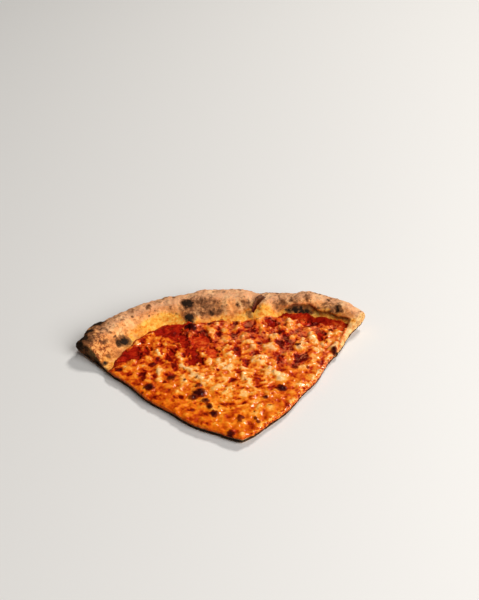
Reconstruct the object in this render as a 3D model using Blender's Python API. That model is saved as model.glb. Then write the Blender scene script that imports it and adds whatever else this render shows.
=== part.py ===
"""A quarter of a 12 inch pizza as three solids: crust, tomato sauce and melted cheese.

Metres, +Z up. The origin is the middle of the flat patch that the slice rests on. The tip points
to -Y, the rim's arc lies towards +Y, and the YZ plane is the slice's centre line.
Angles are measured at the tip, from the centre line, with the right-hand side (+X) positive.
"""

import math
import random

import bmesh
import bpy
from mathutils import Vector

MM = 0.001

# The slice as seen from above
TIP_TO_ORIGIN = 87 * MM
SIDE_ANGLE = math.radians(43.8)  # from the centre line to each cut, out at the rim
SIDE_FLARE = math.radians(23.0)  # how much wider the cuts stand at the tip, which is blunt
FLARE_LENGTH = 150 * MM
CUT_WANDER = 0.7 * MM  # how far the cutting wheel strayed from its curve
CUT_WAVE = 38 * MM
WANDER_START = 15 * MM  # the straying begins this far from the tip

# The rim at stations along its arc: degrees, outer radius, inner radius and height in mm
RIM_STATIONS = (
    (-44, 146.0, 118.5, 11.0),
    (-37, 152.0, 124.0, 13.0),
    (-26, 155.5, 129.5, 13.5),
    (-17, 156.5, 131.0, 14.0),
    (-9, 157.0, 125.0, 15.0),
    (0, 157.5, 125.0, 16.0),
    (7, 157.5, 123.5, 16.0),
    (14, 156.0, 122.0, 14.0),
    (22, 156.0, 130.0, 15.0),
    (29, 159.0, 136.0, 16.5),
    (37, 159.0, 138.5, 14.5),
    (44, 155.0, 138.5, 11.5),
)
RIDGE_SHARE = 0.6  # the ridge lies this share of the way from the rim's foot to its outer edge
INNER_SLOPE = 1.6  # 1 rises like a quarter wave from the foot, more is gentler at the foot
OUTERMOST_SHARE = 0.42  # the rim is widest at this share of its height
RIM_TUCK = 9 * MM  # how far the rim's underside curls in before it meets the flat base

# Layers of the flat middle
BASE_THICKNESS = 3.4 * MM
SAUCE_THICKNESS = 1.0 * MM
CHEESE_THINNEST = 0.9 * MM
CHEESE_EDGE_FADE = 9 * MM  # the cheese thins out over this length before it meets the rim
LAYER_GAP = 0.3 * MM
SHORT_OF_RIM = 2.0 * MM  # the sauce and the cheese end this far from the rim's foot

# The slight bowl that the baked slice keeps: flat in the middle, corners and tip a little up
FLAT_RADIUS = 55 * MM
CORNER_RADIUS = 107 * MM
CORNER_LIFT = 3.6 * MM

# Mesh sizes
COARSE_CELL = 8 * MM
ROW_GAP = 4 * MM  # rows stand closer than their points, so that the cuts stay smooth curves
FINE_CELL = 3.3 * MM
RIM_CELL = 4.2 * MM
RIM_STEPS = 15

# Air bubbles under the rim's skin: degrees along the arc, degrees round the rim's section
# (180 inner foot, 90 top, 0 outermost), radius and height in mm
RIM_BUBBLES = (
    (-36.0, 50, 7.0, 2.0),
    (-30.0, 115, 11.0, 1.3),
    (-20.0, 80, 10.0, 1.2),
    (-8.5, 140, 8.0, 2.4),
    (-2.5, 80, 13.0, 1.6),
    (3.5, 138, 7.5, 2.0),
    (9.0, 105, 9.0, 1.5),
    (15.0, 125, 6.5, 2.2),
    (27.0, 80, 12.0, 1.4),
    (33.5, 150, 8.0, 1.8),
    (38.5, 105, 8.0, 1.2),
)
SMALL_BUBBLES = 70
SMALL_BUBBLE_RADIUS = (2.6, 5.5)
SMALL_BUBBLE_HEIGHT = (0.35, 0.95)
BUBBLES_WITHIN = 43  # degrees either side of the centre line
BUBBLES_FROM_TURN, BUBBLES_TO_TURN = 5, 160
FOOT_FADE, UNDER_FADE = 30, 60  # turns over which bubbles fade to the foot and to the underside

# Unmelted thicker lumps of cheese: x from the centre line, y from the tip, radius, height in mm
CHEESE_MOUNDS = (
    (5, 58, 11, 1.6),
    (20, 60, 10, 1.9),
    (33, 66, 9, 1.8),
    (34, 81, 10, 2.4),
    (27, 91, 9, 2.2),
    (15, 98, 11, 1.8),
    (46, 98, 11, 2.3),
    (60, 87, 9, 2.2),
    (57, 108, 9, 1.6),
    (-9, 49, 10, 1.3),
    (-19, 67, 8, 1.5),
    (-5, 37, 9, 1.2),
    (-47, 84, 8, 1.5),
    (-33, 96, 8, 1.2),
    (-56, 76, 7, 1.2),
    (2, 110, 9, 1.4),
    (32, 113, 7, 1.8),
    (12, 78, 9, 1.2),
)
SMALL_MOUNDS = 120
SMALL_MOUND_RADIUS = (3.0, 5.5)
SMALL_MOUND_HEIGHT = (0.3, 1.0)
MOUNDS_WITHIN = 128  # mm from the tip

# Patches where no cheese covers the sauce: x from the centre line, y from the tip, half length
# and half width in mm, and the turn in degrees
BARE_PATCHES = (
    (-38, 119, 12.0, 5.5, -8),
    (-23, 102, 8.0, 7.0, 50),
    (-17, 80, 6.0, 4.5, 15),
    (-66, 96, 8.0, 4.5, 20),
    (60, 124, 11.0, 4.0, -30),
    (82, 109, 9.0, 4.0, -40),
    (74, 94, 4.5, 5.5, 10),
)
PATCH_WOBBLE = 0.16
PATCH_POINTS = 18
CUTTER_LOW, CUTTER_HIGH = -2 * MM, 30 * MM

COLOURS = {
    "crust": ((0.50, 0.29, 0.135), 0.75),
    "sauce": ((0.36, 0.026, 0.008), 0.30),
    "cheese": ((0.80, 0.36, 0.075), 0.38),
}


def smooth(share):
    """0 to 1 with a soft start and end."""
    share = min(1.0, max(0.0, share))
    return share * share * (3 - 2 * share)


def rim_at(angle):
    """The rim's outer radius, inner radius and height at an angle, in metres."""
    degrees = math.degrees(angle)
    stations = list(zip(RIM_STATIONS, RIM_STATIONS[1:]))
    for before, after in stations:
        if degrees <= after[0] or after is RIM_STATIONS[-1]:
            share = smooth((degrees - before[0]) / (after[0] - before[0]))
            return [(b + (a - b) * share) * MM for b, a in zip(before[1:], after[1:])]
    return None


def side_angle(radius, side):
    """The angle of the left (-1) or right (+1) cut at this distance from the tip."""
    flare = SIDE_FLARE * max(0.0, 1 - radius / FLARE_LENGTH) ** 2
    wander = CUT_WANDER * math.sin(radius / CUT_WAVE * math.tau + side) / max(radius, WANDER_START)
    return side * (SIDE_ANGLE + flare) + wander * smooth(radius / WANDER_START)


def angle_across(radius, across):
    """The angle at a share of the way from the left cut (-1) to the right cut (+1)."""
    left, right = side_angle(radius, -1), side_angle(radius, 1)
    return left + (right - left) * (across + 1) / 2


def lift(x, y):
    """How far the underside rises at a place, x and y from the origin."""
    beyond = max(0.0, math.hypot(x, y) - FLAT_RADIUS)
    return CORNER_LIFT * (beyond / (CORNER_RADIUS - FLAT_RADIUS)) ** 2


def place(radius, angle, height):
    """A point at a distance and an angle from the tip, a height above the curved underside."""
    x = radius * math.sin(angle)
    y = radius * math.cos(angle) - TIP_TO_ORIGIN
    return Vector((x, y, height + lift(x, y)))


def flat_point(share, across, height):
    """A point of the flat middle: share 0 is the tip and 1 the rim's inner foot."""
    _, inner, _ = rim_at(across * SIDE_ANGLE)
    radius = share * inner
    return place(radius, angle_across(radius, across), height)


def rim_section(angle, turn):
    """Radius and height on the smooth rim: turn 180 is its foot, 90 its ridge, 0 its outside."""
    outer, inner, top = rim_at(angle)
    widest = OUTERMOST_SHARE * top
    ridge = inner + RIDGE_SHARE * (outer - inner)
    lean = math.radians(turn)
    if turn >= 90:
        out = inner + (ridge - inner) * (180 - turn) / 90
        return out, BASE_THICKNESS + (top - BASE_THICKNESS) * math.sin(lean) ** INNER_SLOPE
    if turn >= 0:
        return ridge + (outer - ridge) * math.cos(lean), widest + (top - widest) * math.sin(lean)
    return outer - RIM_TUCK * (1 - math.cos(lean)), widest * (1 + math.sin(lean))


def rim_bubbles():
    """Every bubble of the rim as its middle on the smooth rim, its radius and its height."""
    draw = random.Random(12)
    named = list(RIM_BUBBLES)
    for _ in range(SMALL_BUBBLES):
        degrees = draw.uniform(-BUBBLES_WITHIN, BUBBLES_WITHIN)
        turn = draw.uniform(BUBBLES_FROM_TURN, BUBBLES_TO_TURN)
        radius, height = draw.uniform(*SMALL_BUBBLE_RADIUS), draw.uniform(*SMALL_BUBBLE_HEIGHT)
        named.append((degrees, turn, radius, height))
    found = []
    for degrees, turn, radius, height in named:
        angle = math.radians(degrees)
        out, up = rim_section(angle, turn)
        found.append((place(out, angle, up), radius * MM, height * MM))
    return found


def rim_point(across, turn, bubbles):
    """A point of the rim with its bubbles, which push it away from the middle of the rim's section."""
    outer, inner, top = rim_at(across * SIDE_ANGLE)
    out, up = rim_section(across * SIDE_ANGLE, turn)
    angle = angle_across(out, across)
    point = place(out, angle, up)
    core = place(inner + RIDGE_SHARE * (outer - inner), angle, OUTERMOST_SHARE * top)
    raised = 0.0
    for middle, radius, height in bubbles:
        away = (point - middle).length / radius
        if away < 1:
            raised += height * (1 - away * away) ** 2
    raised *= smooth((180 - turn) / FOOT_FADE) * smooth((turn + UNDER_FADE) / UNDER_FADE)
    return point + (point - core).normalized() * raised


def counted(length, cell):
    return max(1, round(length / cell))


def row_of(mesh, share, cell, height_at):
    """One row of the flat middle from cut to cut, with about one point every cell."""
    radius = share * rim_at(0)[1]
    steps = counted(2 * radius * side_angle(radius, 1), cell) if share > 0 else 0
    row = []
    for step in range(steps + 1):
        across = -1 + 2 * step / steps if steps else 0.0
        point = flat_point(share, across, 0.0)
        point.z += height_at(point)
        row.append(mesh.verts.new(point))
    return row


def flat_rows(mesh, cell, height_at, short=0.0):
    """Rows of the flat middle, from the tip's single point to the rim's foot or this far short of it."""
    length = rim_at(0)[1]
    count = counted(length, min(cell, ROW_GAP))
    reach = 1 - short / length
    return [row_of(mesh, reach * step / count, cell, height_at) for step in range(count + 1)]


def zip_chains(mesh, first, second):
    """Triangles between two chains of points that run the same way, each across the shorter diagonal."""
    i, j = 0, 0
    while i < len(first) - 1 or j < len(second) - 1:
        more_first, more_second = i < len(first) - 1, j < len(second) - 1
        to_first = (first[i + 1].co - second[j].co).length if more_first else math.inf
        to_second = (first[i].co - second[j + 1].co).length if more_second else math.inf
        if to_first <= to_second:
            corners = (first[i], first[i + 1], second[j])
            i += 1
        else:
            corners = (first[i], second[j + 1], second[j])
            j += 1
        if len(set(corners)) == 3:
            mesh.faces.new(corners)


def zip_rows(mesh, rows):
    for before, after in zip(rows, rows[1:]):
        zip_chains(mesh, before, after)


def close_cuts(mesh, upper, lower):
    """The two cut faces, between the ends of the upper rows and those of the lower rows."""
    for end in (0, -1):
        zip_chains(mesh, [row[end] for row in upper], [row[end] for row in lower])


def material(name):
    colour, roughness = COLOURS[name]
    made = bpy.data.materials.new(name)
    made.use_nodes = True
    shader = made.node_tree.nodes["Principled BSDF"]
    shader.inputs["Base Color"].default_value = (*colour, 1)
    shader.inputs["Roughness"].default_value = roughness
    return made


def finished(name, mesh):
    """Turns a closed bmesh into a named object with its own material."""
    bmesh.ops.recalc_face_normals(mesh, faces=mesh.faces)
    data = bpy.data.meshes.new(name)
    mesh.to_mesh(data)
    mesh.free()
    made = bpy.data.objects.new(name, data)
    bpy.context.scene.collection.objects.link(made)
    data.materials.append(material(name))
    data.shade_smooth()
    data.set_sharp_from_angle(angle=math.radians(50))
    return made


def crust():
    """The dough: a thin flat base and the puffed rim, one baked piece."""
    mesh = bmesh.new()
    bubbles = rim_bubbles()
    upper = flat_rows(mesh, COARSE_CELL, lambda point: BASE_THICKNESS, RIM_CELL)
    around = counted(2 * SIDE_ANGLE * rim_at(0)[0], RIM_CELL)
    shares = [-1 + 2 * step / around for step in range(around + 1)]
    for turn in [180 - 270 * step / RIM_STEPS for step in range(RIM_STEPS + 1)]:
        upper.append([mesh.verts.new(rim_point(across, turn, bubbles)) for across in shares])
    lower = flat_rows(mesh, COARSE_CELL, lambda point: 0.0)
    zip_rows(mesh, upper)
    zip_rows(mesh, [*lower, upper[-1]])
    close_cuts(mesh, upper, [*lower, upper[-1]])
    return finished("crust", mesh)


def layer(name, bottom, top, cell):
    """A layer over the flat middle from cut to cut, between two heights above the underside."""
    mesh = bmesh.new()
    upper = flat_rows(mesh, cell, top, SHORT_OF_RIM)
    lower = flat_rows(mesh, COARSE_CELL, bottom, SHORT_OF_RIM)
    zip_rows(mesh, upper)
    zip_rows(mesh, lower)
    zip_chains(mesh, upper[-1], lower[-1])
    close_cuts(mesh, upper, lower)
    return finished(name, mesh)


def sauce():
    bottom = BASE_THICKNESS + LAYER_GAP
    return layer("sauce", lambda point: bottom, lambda point: bottom + SAUCE_THICKNESS, COARSE_CELL)


def cheese_mounds():
    """Every mound of cheese: its place from the origin, radius and height."""
    draw = random.Random(5)
    named = list(CHEESE_MOUNDS)
    while len(named) < len(CHEESE_MOUNDS) + SMALL_MOUNDS:
        x, y = draw.uniform(-MOUNDS_WITHIN, MOUNDS_WITHIN), draw.uniform(0, MOUNDS_WITHIN)
        out = math.hypot(x, y)
        if out < MOUNDS_WITHIN and abs(math.atan2(x, y)) < side_angle(out * MM, 1):
            named.append((x, y, draw.uniform(*SMALL_MOUND_RADIUS), draw.uniform(*SMALL_MOUND_HEIGHT)))
    return [(x * MM, y * MM - TIP_TO_ORIGIN, radius * MM, height * MM) for x, y, radius, height in named]


def cheese():
    """The melted cheese, thicker in mounds, with holes where the sauce is bare."""
    mounds = cheese_mounds()
    bottom = BASE_THICKNESS + SAUCE_THICKNESS + 2 * LAYER_GAP

    def top(point):
        raised = 0.0
        for x, y, radius, height in mounds:
            away = math.hypot(point.x - x, point.y - y) / radius
            if away < 1:
                raised += height * (1 - away * away) ** 2
        from_tip = Vector((point.x, point.y + TIP_TO_ORIGIN, 0))
        to_rim = rim_at(math.atan2(from_tip.x, from_tip.y))[1] - from_tip.length
        return bottom + CHEESE_THINNEST + raised * smooth(to_rim / CHEESE_EDGE_FADE)

    made = layer("cheese", lambda point: bottom, top, FINE_CELL)
    for index, patch in enumerate(BARE_PATCHES):
        cut_patch(made, index, patch)
    return made


def cut_patch(body, index, patch):
    """Cuts one bare patch through the cheese, with a wobbly round outline."""
    x, y, half_length, half_width, turn = patch
    mesh = bmesh.new()
    lean = math.radians(turn)
    rim = []
    for step in range(PATCH_POINTS):
        around = math.tau * step / PATCH_POINTS
        wobble = 1 + PATCH_WOBBLE * (math.sin(3 * around + index) + math.sin(5 * around + 2 * index) / 2)
        out, side = half_length * wobble * math.cos(around), half_width * wobble * math.sin(around)
        px = x + out * math.cos(lean) - side * math.sin(lean)
        py = y + out * math.sin(lean) + side * math.cos(lean)
        rim.append(mesh.verts.new((px * MM, py * MM - TIP_TO_ORIGIN, CUTTER_LOW)))
    floor = mesh.faces.new(rim)
    raised = bmesh.ops.extrude_face_region(mesh, geom=[floor])["geom"]
    corners = [part for part in raised if isinstance(part, bmesh.types.BMVert)]
    bmesh.ops.translate(mesh, vec=(0, 0, CUTTER_HIGH - CUTTER_LOW), verts=corners)
    cutter = finished("cheese", mesh)
    cutter.name = f"patch_cutter_{index}"
    cut = body.modifiers.new("bare patch", "BOOLEAN")
    cut.operation = "DIFFERENCE"
    cut.object = cutter
    cutter.hide_render = True
    cutter.display_type = "WIRE"


def main():
    for old in list(bpy.data.objects):
        bpy.data.objects.remove(old)
    crust()
    sauce()
    cheese()


main()
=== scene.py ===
import math
import random

import bpy
import numpy as np
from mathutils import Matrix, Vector, noise
from mathutils.bvhtree import BVHTree


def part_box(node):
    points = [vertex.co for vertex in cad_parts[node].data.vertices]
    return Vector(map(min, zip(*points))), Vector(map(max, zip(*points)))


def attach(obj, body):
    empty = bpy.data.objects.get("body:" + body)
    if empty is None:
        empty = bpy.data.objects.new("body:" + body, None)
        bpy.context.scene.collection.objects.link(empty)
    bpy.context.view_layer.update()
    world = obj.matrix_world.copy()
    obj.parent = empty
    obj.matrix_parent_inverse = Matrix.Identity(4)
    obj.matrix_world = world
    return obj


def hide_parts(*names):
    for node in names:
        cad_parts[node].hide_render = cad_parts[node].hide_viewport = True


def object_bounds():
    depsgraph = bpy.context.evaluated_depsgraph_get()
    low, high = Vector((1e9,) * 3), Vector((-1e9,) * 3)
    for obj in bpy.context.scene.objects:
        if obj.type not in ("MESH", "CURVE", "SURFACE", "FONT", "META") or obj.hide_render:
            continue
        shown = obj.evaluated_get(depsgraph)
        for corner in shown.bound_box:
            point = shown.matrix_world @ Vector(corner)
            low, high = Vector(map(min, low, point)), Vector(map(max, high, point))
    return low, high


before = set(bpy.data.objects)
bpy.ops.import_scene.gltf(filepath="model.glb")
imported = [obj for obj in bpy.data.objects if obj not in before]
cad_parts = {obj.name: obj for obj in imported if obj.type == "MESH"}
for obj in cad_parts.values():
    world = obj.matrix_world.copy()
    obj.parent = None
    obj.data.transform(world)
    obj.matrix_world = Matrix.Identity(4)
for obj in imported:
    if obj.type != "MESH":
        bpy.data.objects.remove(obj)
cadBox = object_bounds()
mm = 0.001

# The slice in plan. Places in the lists below are x from the centre line and y from the tip, in mm
plan = {
    "tipToOrigin": 87 * mm,
    "sideAngle": math.radians(43.8),
    "sideFlare": math.radians(23.0),
    "flareLength": 150 * mm,
    "cutWander": 0.7 * mm,
    "cutWave": 38 * mm,
    "wanderStart": 15 * mm,
    "baseThickness": 3.4 * mm,
    "flatRadius": 55 * mm,  # the underside is flat this far out, then bows up
    "cornerRadius": 107 * mm,
    "cornerLift": 3.6 * mm,
    # width of the bare strip of dough beside the right-hand cut: distance from the tip and width, in mm
    "bareStrip": ((108, 0.0), (120, 2.2), (130, 3.4), (140, 4.6), (150, 5.5)),
    # the tip is drawn out this much, fading to nothing at this distance from it
    "tipPull": (1.0 * mm, -2.4 * mm),
    "tipPullReach": 45 * mm,
    "headroom": 0.4 * mm,  # how far baked bumps may stand above the frame's highest place
    "softTop": 1.6 * mm,  # bumps are held back over this height below that limit
}


# Everyday steps

def deselectAll():
    bpy.ops.object.select_all(action="DESELECT")


def pickOnly(piece):
    deselectAll()
    piece.select_set(True)
    bpy.context.view_layer.objects.active = piece


def addAndApply(piece, kind, **settings):
    pickOnly(piece)
    modifier = piece.modifiers.new(kind.lower(), kind)
    for name, value in settings.items():
        setattr(modifier, name, value)
    bpy.ops.object.modifier_apply(modifier=modifier.name)


def editMode(piece, *steps):
    # each step is an operator to run on the whole mesh
    pickOnly(piece)
    bpy.ops.object.mode_set(mode="EDIT")
    bpy.ops.mesh.select_all(action="SELECT")
    for step in steps:
        step()
    bpy.ops.object.mode_set(mode="OBJECT")


def selectPoints(piece, chosen):
    # leaves the mesh in edit mode with only these points selected
    pickOnly(piece)
    bpy.ops.object.mode_set(mode="EDIT")
    bpy.ops.mesh.select_mode(type="VERT")
    bpy.ops.mesh.select_all(action="DESELECT")
    bpy.ops.object.mode_set(mode="OBJECT")
    piece.data.vertices.foreach_set("select", chosen)
    bpy.ops.object.mode_set(mode="EDIT")


def readPoints(piece):
    points = np.empty(3 * len(piece.data.vertices))
    piece.data.vertices.foreach_get("co", points)
    return points.reshape(-1, 3)


def writePoints(piece, points):
    piece.data.vertices.foreach_set("co", points.ravel())
    piece.data.update()


def readNormals(piece):
    normals = np.empty(3 * len(piece.data.vertices))
    piece.data.vertices.foreach_get("normal", normals)
    return normals.reshape(-1, 3)


def paint(piece, **fields):
    # one number at each point under each name, for a material to read
    for name, values in fields.items():
        layer = piece.data.attributes.new(name, "FLOAT", "POINT")
        layer.data.foreach_set("value", np.clip(values, 0, 1).astype(np.float32))


def finishPiece(piece, material, sharpAbove=None):
    # edges sharper than the angle stay sharp, where one is given
    piece.data.materials.append(material)
    pickOnly(piece)
    if sharpAbove:
        bpy.ops.object.shade_smooth_by_angle(angle=math.radians(sharpAbove))
    else:
        bpy.ops.object.shade_smooth()
    print(piece.name, len(piece.data.polygons), "faces")
    return piece


def rise(values, low, high):
    # 0 below low, 1 above high, soft between
    share = np.clip((values - low) / (high - low), 0, 1)
    return share * share * (3 - 2 * share)


def uneven(points, size, seed, octaves=2):
    # about -1 to 1, in lumps of this size
    moved = points / size + seed * 31.7
    return np.array([noise.fractal(p, 0.9, 2.1, octaves) for p in moved.tolist()])


def cobbles(points, size, seed):
    # cells of this size: 0 at their borders and 1 well inside, and a number from 0 to 1 for each cell
    inside, cell = [], []
    for p in (points / size + seed * 17.3).tolist():
        gaps, middles = noise.voronoi(p)
        inside.append(gaps[1] - gaps[0])
        cell.append(noise.cell(middles[0] * 9.1))
    return rise(np.array(inside), 0.02, 0.55), np.array(cell)


def evenOut(piece, values, rounds):
    # each point takes the mean of itself and its neighbours, over and over
    edges = np.empty(2 * len(piece.data.edges), dtype=int)
    piece.data.edges.foreach_get("vertices", edges)
    first, second = edges.reshape(-1, 2).T
    count = np.bincount(edges, minlength=len(values)) + 1
    for _ in range(rounds):
        total = values + np.bincount(first, values[second], len(values))
        total += np.bincount(second, values[first], len(values))
        values = total / count
    return values


def fromTip(points):
    # distance and angle from the tip, seen from above
    away = points[:, 1] + plan["tipToOrigin"]
    return np.hypot(points[:, 0], away), np.arctan2(points[:, 0], away)


def inMillimetres(points):
    # x and y from the tip in mm, as the lists give them
    return points[:, 0] / mm, (points[:, 1] + plan["tipToOrigin"]) / mm


def cutAngle(radius, side):
    # the angle of the left (-1) or right (+1) cut
    flare = plan["sideFlare"] * np.maximum(0, 1 - radius / plan["flareLength"]) ** 2
    stray = plan["cutWander"] * np.sin(radius / plan["cutWave"] * math.tau + side)
    stray = stray / np.maximum(radius, plan["wanderStart"]) * rise(radius, 0, plan["wanderStart"])
    return side * (plan["sideAngle"] + flare) + stray


def bareWidth(radius):
    marks, widths = zip(*plan["bareStrip"])
    return np.interp(radius / mm, marks, widths) * mm


def insideCuts(radius, angle):
    # distance from the nearer cut, positive inside
    left = (angle - cutAngle(radius, -1)) * radius
    right = (cutAngle(radius, 1) - angle) * radius
    return np.minimum(left, right)


def aboveUnderside(points):
    # how high each point lies above the bowed underside
    beyond = np.maximum(0, np.hypot(points[:, 0], points[:, 1]) - plan["flatRadius"])
    return points[:, 2] - plan["cornerLift"] * (beyond / (plan["cornerRadius"] - plan["flatRadius"])) ** 2


def domeAt(x, y, place, radius):
    # 1 over a place, falling to 0 at this radius, all in mm
    away = np.hypot(x - place[0], y - place[1]) / radius
    return np.where(away < 1, (1 - away * away) ** 2, 0.0)


def ovalAt(x, y, oval, edge):
    # 1 inside a turned oval (x, y, half length, half width, degrees), with an uneven edge
    turn = math.radians(oval[4])
    out = ((x - oval[0]) * math.cos(turn) + (y - oval[1]) * math.sin(turn)) / oval[2]
    side = ((y - oval[1]) * math.cos(turn) - (x - oval[0]) * math.sin(turn)) / oval[3]
    return 1 - rise(np.hypot(out, side) + edge, 0.6, 1.2)


def strandAt(x, y, line, width):
    # 1 along a line of places, falling to 0 beside it, all in mm
    nearest = np.full(len(x), 1000.0)
    for (fromX, fromY), (toX, toY) in zip(line, line[1:]):
        aheadX, aheadY = toX - fromX, toY - fromY
        share = ((x - fromX) * aheadX + (y - fromY) * aheadY) / (aheadX * aheadX + aheadY * aheadY)
        share = np.clip(share, 0, 1)
        nearest = np.minimum(nearest, np.hypot(x - fromX - share * aheadX, y - fromY - share * aheadY))
    return np.exp(-(nearest / width) ** 2)


def warped(points, size, reach, seed):
    # the points moved about by up to this reach, so that round spots come out uneven
    return points + reach * np.stack([uneven(points, size, seed + step, 2) for step in range(3)], 1)


def spotAt(points, centre, radius):
    # 1 at a place on a surface, falling to 0 at this distance from it
    away = np.linalg.norm(points - centre, axis=1) / radius
    return np.where(away < 1, (1 - away * away) ** 2, 0.0)


def treeOf(piece):
    return BVHTree.FromObject(piece, bpy.context.evaluated_depsgraph_get())


def heightsOn(tree, points):
    # the highest surface of a mesh over each point
    down = Vector((0, 0, -1))
    found = []
    for x, y in points[:, :2].tolist():
        hit = tree.ray_cast((x, y, 100 * mm), down)[0]
        found.append(hit.z if hit else np.nan)
    return np.array(found)


# The rim's foot and outer edge, measured on the frame's crust every half degree

rimSearch = {
    "halfArc": 44,  # in degrees
    "every": 0.5,
    "from": 105 * mm,
    "to": 165 * mm,
    "step": 0.5 * mm,
    "thickerBy": 0.5 * mm,  # the foot is where the dough first gets this much thicker than the base
    "edgeOfCut": 0.999,  # kept this share inside the cuts
}
crustShape = treeOf(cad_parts["crust"])


def measureRim():
    halfArc, every = rimSearch["halfArc"], rimSearch["every"]
    angles = np.radians(np.arange(-halfArc, halfArc + 0.1, every))
    radii = np.arange(rimSearch["from"], rimSearch["to"], rimSearch["step"])
    widest = rimSearch["edgeOfCut"] * plan["sideAngle"]
    high, up = Vector((0, 0, 100 * mm)), Vector((0, 0, 1))
    foot, outer = [], []
    for angle in np.clip(angles, -widest, widest):
        direction = Vector((math.sin(angle), math.cos(angle), 0))
        thick = []
        for radius in radii:
            place = direction * radius - Vector((0, plan["tipToOrigin"], 0))
            top = crustShape.ray_cast(place + high, -up)[0]
            bottom = crustShape.ray_cast(place - high, up)[0]
            thick.append(top.z - bottom.z if top and bottom else 0)
        thick = np.array(thick)
        foot.append(radii[np.argmax(thick > plan["baseThickness"] + rimSearch["thickerBy"])])
        outer.append(radii[np.nonzero(thick)[0][-1]])
    return angles, np.array(foot), np.array(outer)


rimAngles, rimFoot, rimOuter = measureRim()
print("rim measured")


def footAt(angle):
    return np.interp(angle, rimAngles, rimFoot)


def outerAt(angle):
    return np.interp(angle, rimAngles, rimOuter)


def onSkin(x, y):
    # the place on top of the frame's crust over x and y in mm, or the nearest one
    over = Vector((x * mm, y * mm - plan["tipToOrigin"], 100 * mm))
    hit = crustShape.ray_cast(over, Vector((0, 0, -1)))[0]
    if not hit:
        over.z = 10 * mm
        hit = crustShape.find_nearest(over)[0]
    return np.array(hit)


def valueAlong(rows, degrees):
    # reads a value between rows of (degrees, value)
    marks, values = zip(*rows)
    return np.interp(degrees, marks, values)


# Materials: short helpers, then shared groups

def addNode(tree, kind, inputs=None, **settings):
    made = tree.nodes.new("ShaderNode" + kind)
    for name, value in settings.items():
        setattr(made, name, value)
    for name, value in (inputs or {}).items():
        feed(tree, made.inputs[name], value)
    return made


def feed(tree, socket, value):
    # a socket is linked, a number or vector is set
    if isinstance(value, bpy.types.NodeSocket):
        tree.links.new(value, socket)
    else:
        socket.default_value = value


def attribute(tree, name):
    return addNode(tree, "Attribute", attribute_name=name).outputs["Fac"]


def objectPlace(tree):
    return addNode(tree, "TexCoord").outputs["Object"]


def speckle(tree, place, size, detail=3.0, roughness=0.6, distortion=0.0):
    # noise in lumps of this many metres
    settings = {"Scale": 1 / size, "Detail": detail, "Roughness": roughness, "Distortion": distortion}
    return addNode(tree, "TexNoise", {"Vector": place, **settings}).outputs["Fac"]


def add(tree, first, second):
    return addNode(tree, "Math", {0: first, 1: second}, operation="ADD").outputs[0]


def times(tree, first, second):
    return addNode(tree, "Math", {0: first, 1: second}, operation="MULTIPLY").outputs[0]


def wobble(tree, value, amount):
    # a noise value moved about zero and given this reach
    middle = addNode(tree, "Math", {0: value, 1: 0.5}, operation="SUBTRACT").outputs[0]
    return times(tree, middle, amount)


def spread(tree, value, low, high):
    # 0 below low, 1 above high
    inputs = {"Value": value, "From Min": low, "From Max": high}
    return addNode(tree, "MapRange", inputs, interpolation_type="SMOOTHSTEP").outputs["Result"]


def between(tree, share, first, second):
    # a colour between two colours or colour sockets
    made = addNode(tree, "Mix", data_type="RGBA")
    feed(tree, made.inputs[0], share)
    for index, colour in ((6, first), (7, second)):
        feed(tree, made.inputs[index], colour if isinstance(colour, bpy.types.NodeSocket) else (*colour, 1))
    return made.outputs[2]


def layOver(tree, under, over, mask, low, high, most):
    # a colour over another: none where the mask is below low, this much at most above high
    return between(tree, times(tree, spread(tree, mask, low, high), most), under, over)


def ramp(tree, value, stops):
    made = addNode(tree, "ValToRGB", {"Fac": value})
    marks = made.color_ramp.elements
    while len(marks) < len(stops):
        marks.new(0.5)
    for mark, (position, colour) in zip(marks, stops):
        mark.position = position
        mark.color = (*colour, 1)
    return made.outputs["Color"]


def fromTo(tree, value, low, high, first, second):
    # a number that goes from first to second while the value goes from low to high
    inputs = {"Value": value, "From Min": low, "From Max": high, "To Min": first, "To Max": second}
    return addNode(tree, "MapRange", inputs).outputs["Result"]


def newGroup(name, inputs, outputs):
    tree = bpy.data.node_groups.new(name, "ShaderNodeTree")
    for label, default in inputs.items():
        kind = "NodeSocketVector" if default is None else "NodeSocketFloat"
        socket = tree.interface.new_socket(label, in_out="INPUT", socket_type=kind)
        if default is not None:
            socket.default_value = default
    for label in outputs:
        tree.interface.new_socket(label, in_out="OUTPUT", socket_type="NodeSocketFloat")
    return tree, tree.nodes.new("NodeGroupInput").outputs, tree.nodes.new("NodeGroupOutput").inputs


def scorchGroup():
    # turns a soft painted mask into a ragged burnt spot and its brown halo
    inputs = {"Place": None, "Mask": 0.0, "Raggedness": 0.5}
    tree, given, out = newGroup("ragged scorch", inputs, ("Black", "Halo"))
    broken = speckle(tree, given["Place"], 1.7 * mm, 5, 0.72)
    edge = add(tree, given["Mask"], wobble(tree, broken, given["Raggedness"]))
    tree.links.new(spread(tree, edge, 0.46, 0.92), out["Black"])
    tree.links.new(spread(tree, edge, 0.10, 0.50), out["Halo"])
    return tree


def grainGroup():
    # fine pores and grains as a height
    inputs = {"Place": None, "Coarse": 1.0, "Fine": 1.0}
    tree, given, out = newGroup("fine grain", inputs, ("Height",))
    coarse = times(tree, speckle(tree, given["Place"], 1.6 * mm, 5, 0.65), given["Coarse"])
    fine = times(tree, speckle(tree, given["Place"], 0.35 * mm, 3, 0.7), given["Fine"])
    tree.links.new(add(tree, coarse, fine), out["Height"])
    return tree


ragged = scorchGroup()
grain = grainGroup()


def useGroup(tree, group, inputs):
    made = tree.nodes.new("ShaderNodeGroup")
    made.node_tree = group
    for name, value in inputs.items():
        feed(tree, made.inputs[name], value)
    return made.outputs


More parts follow.
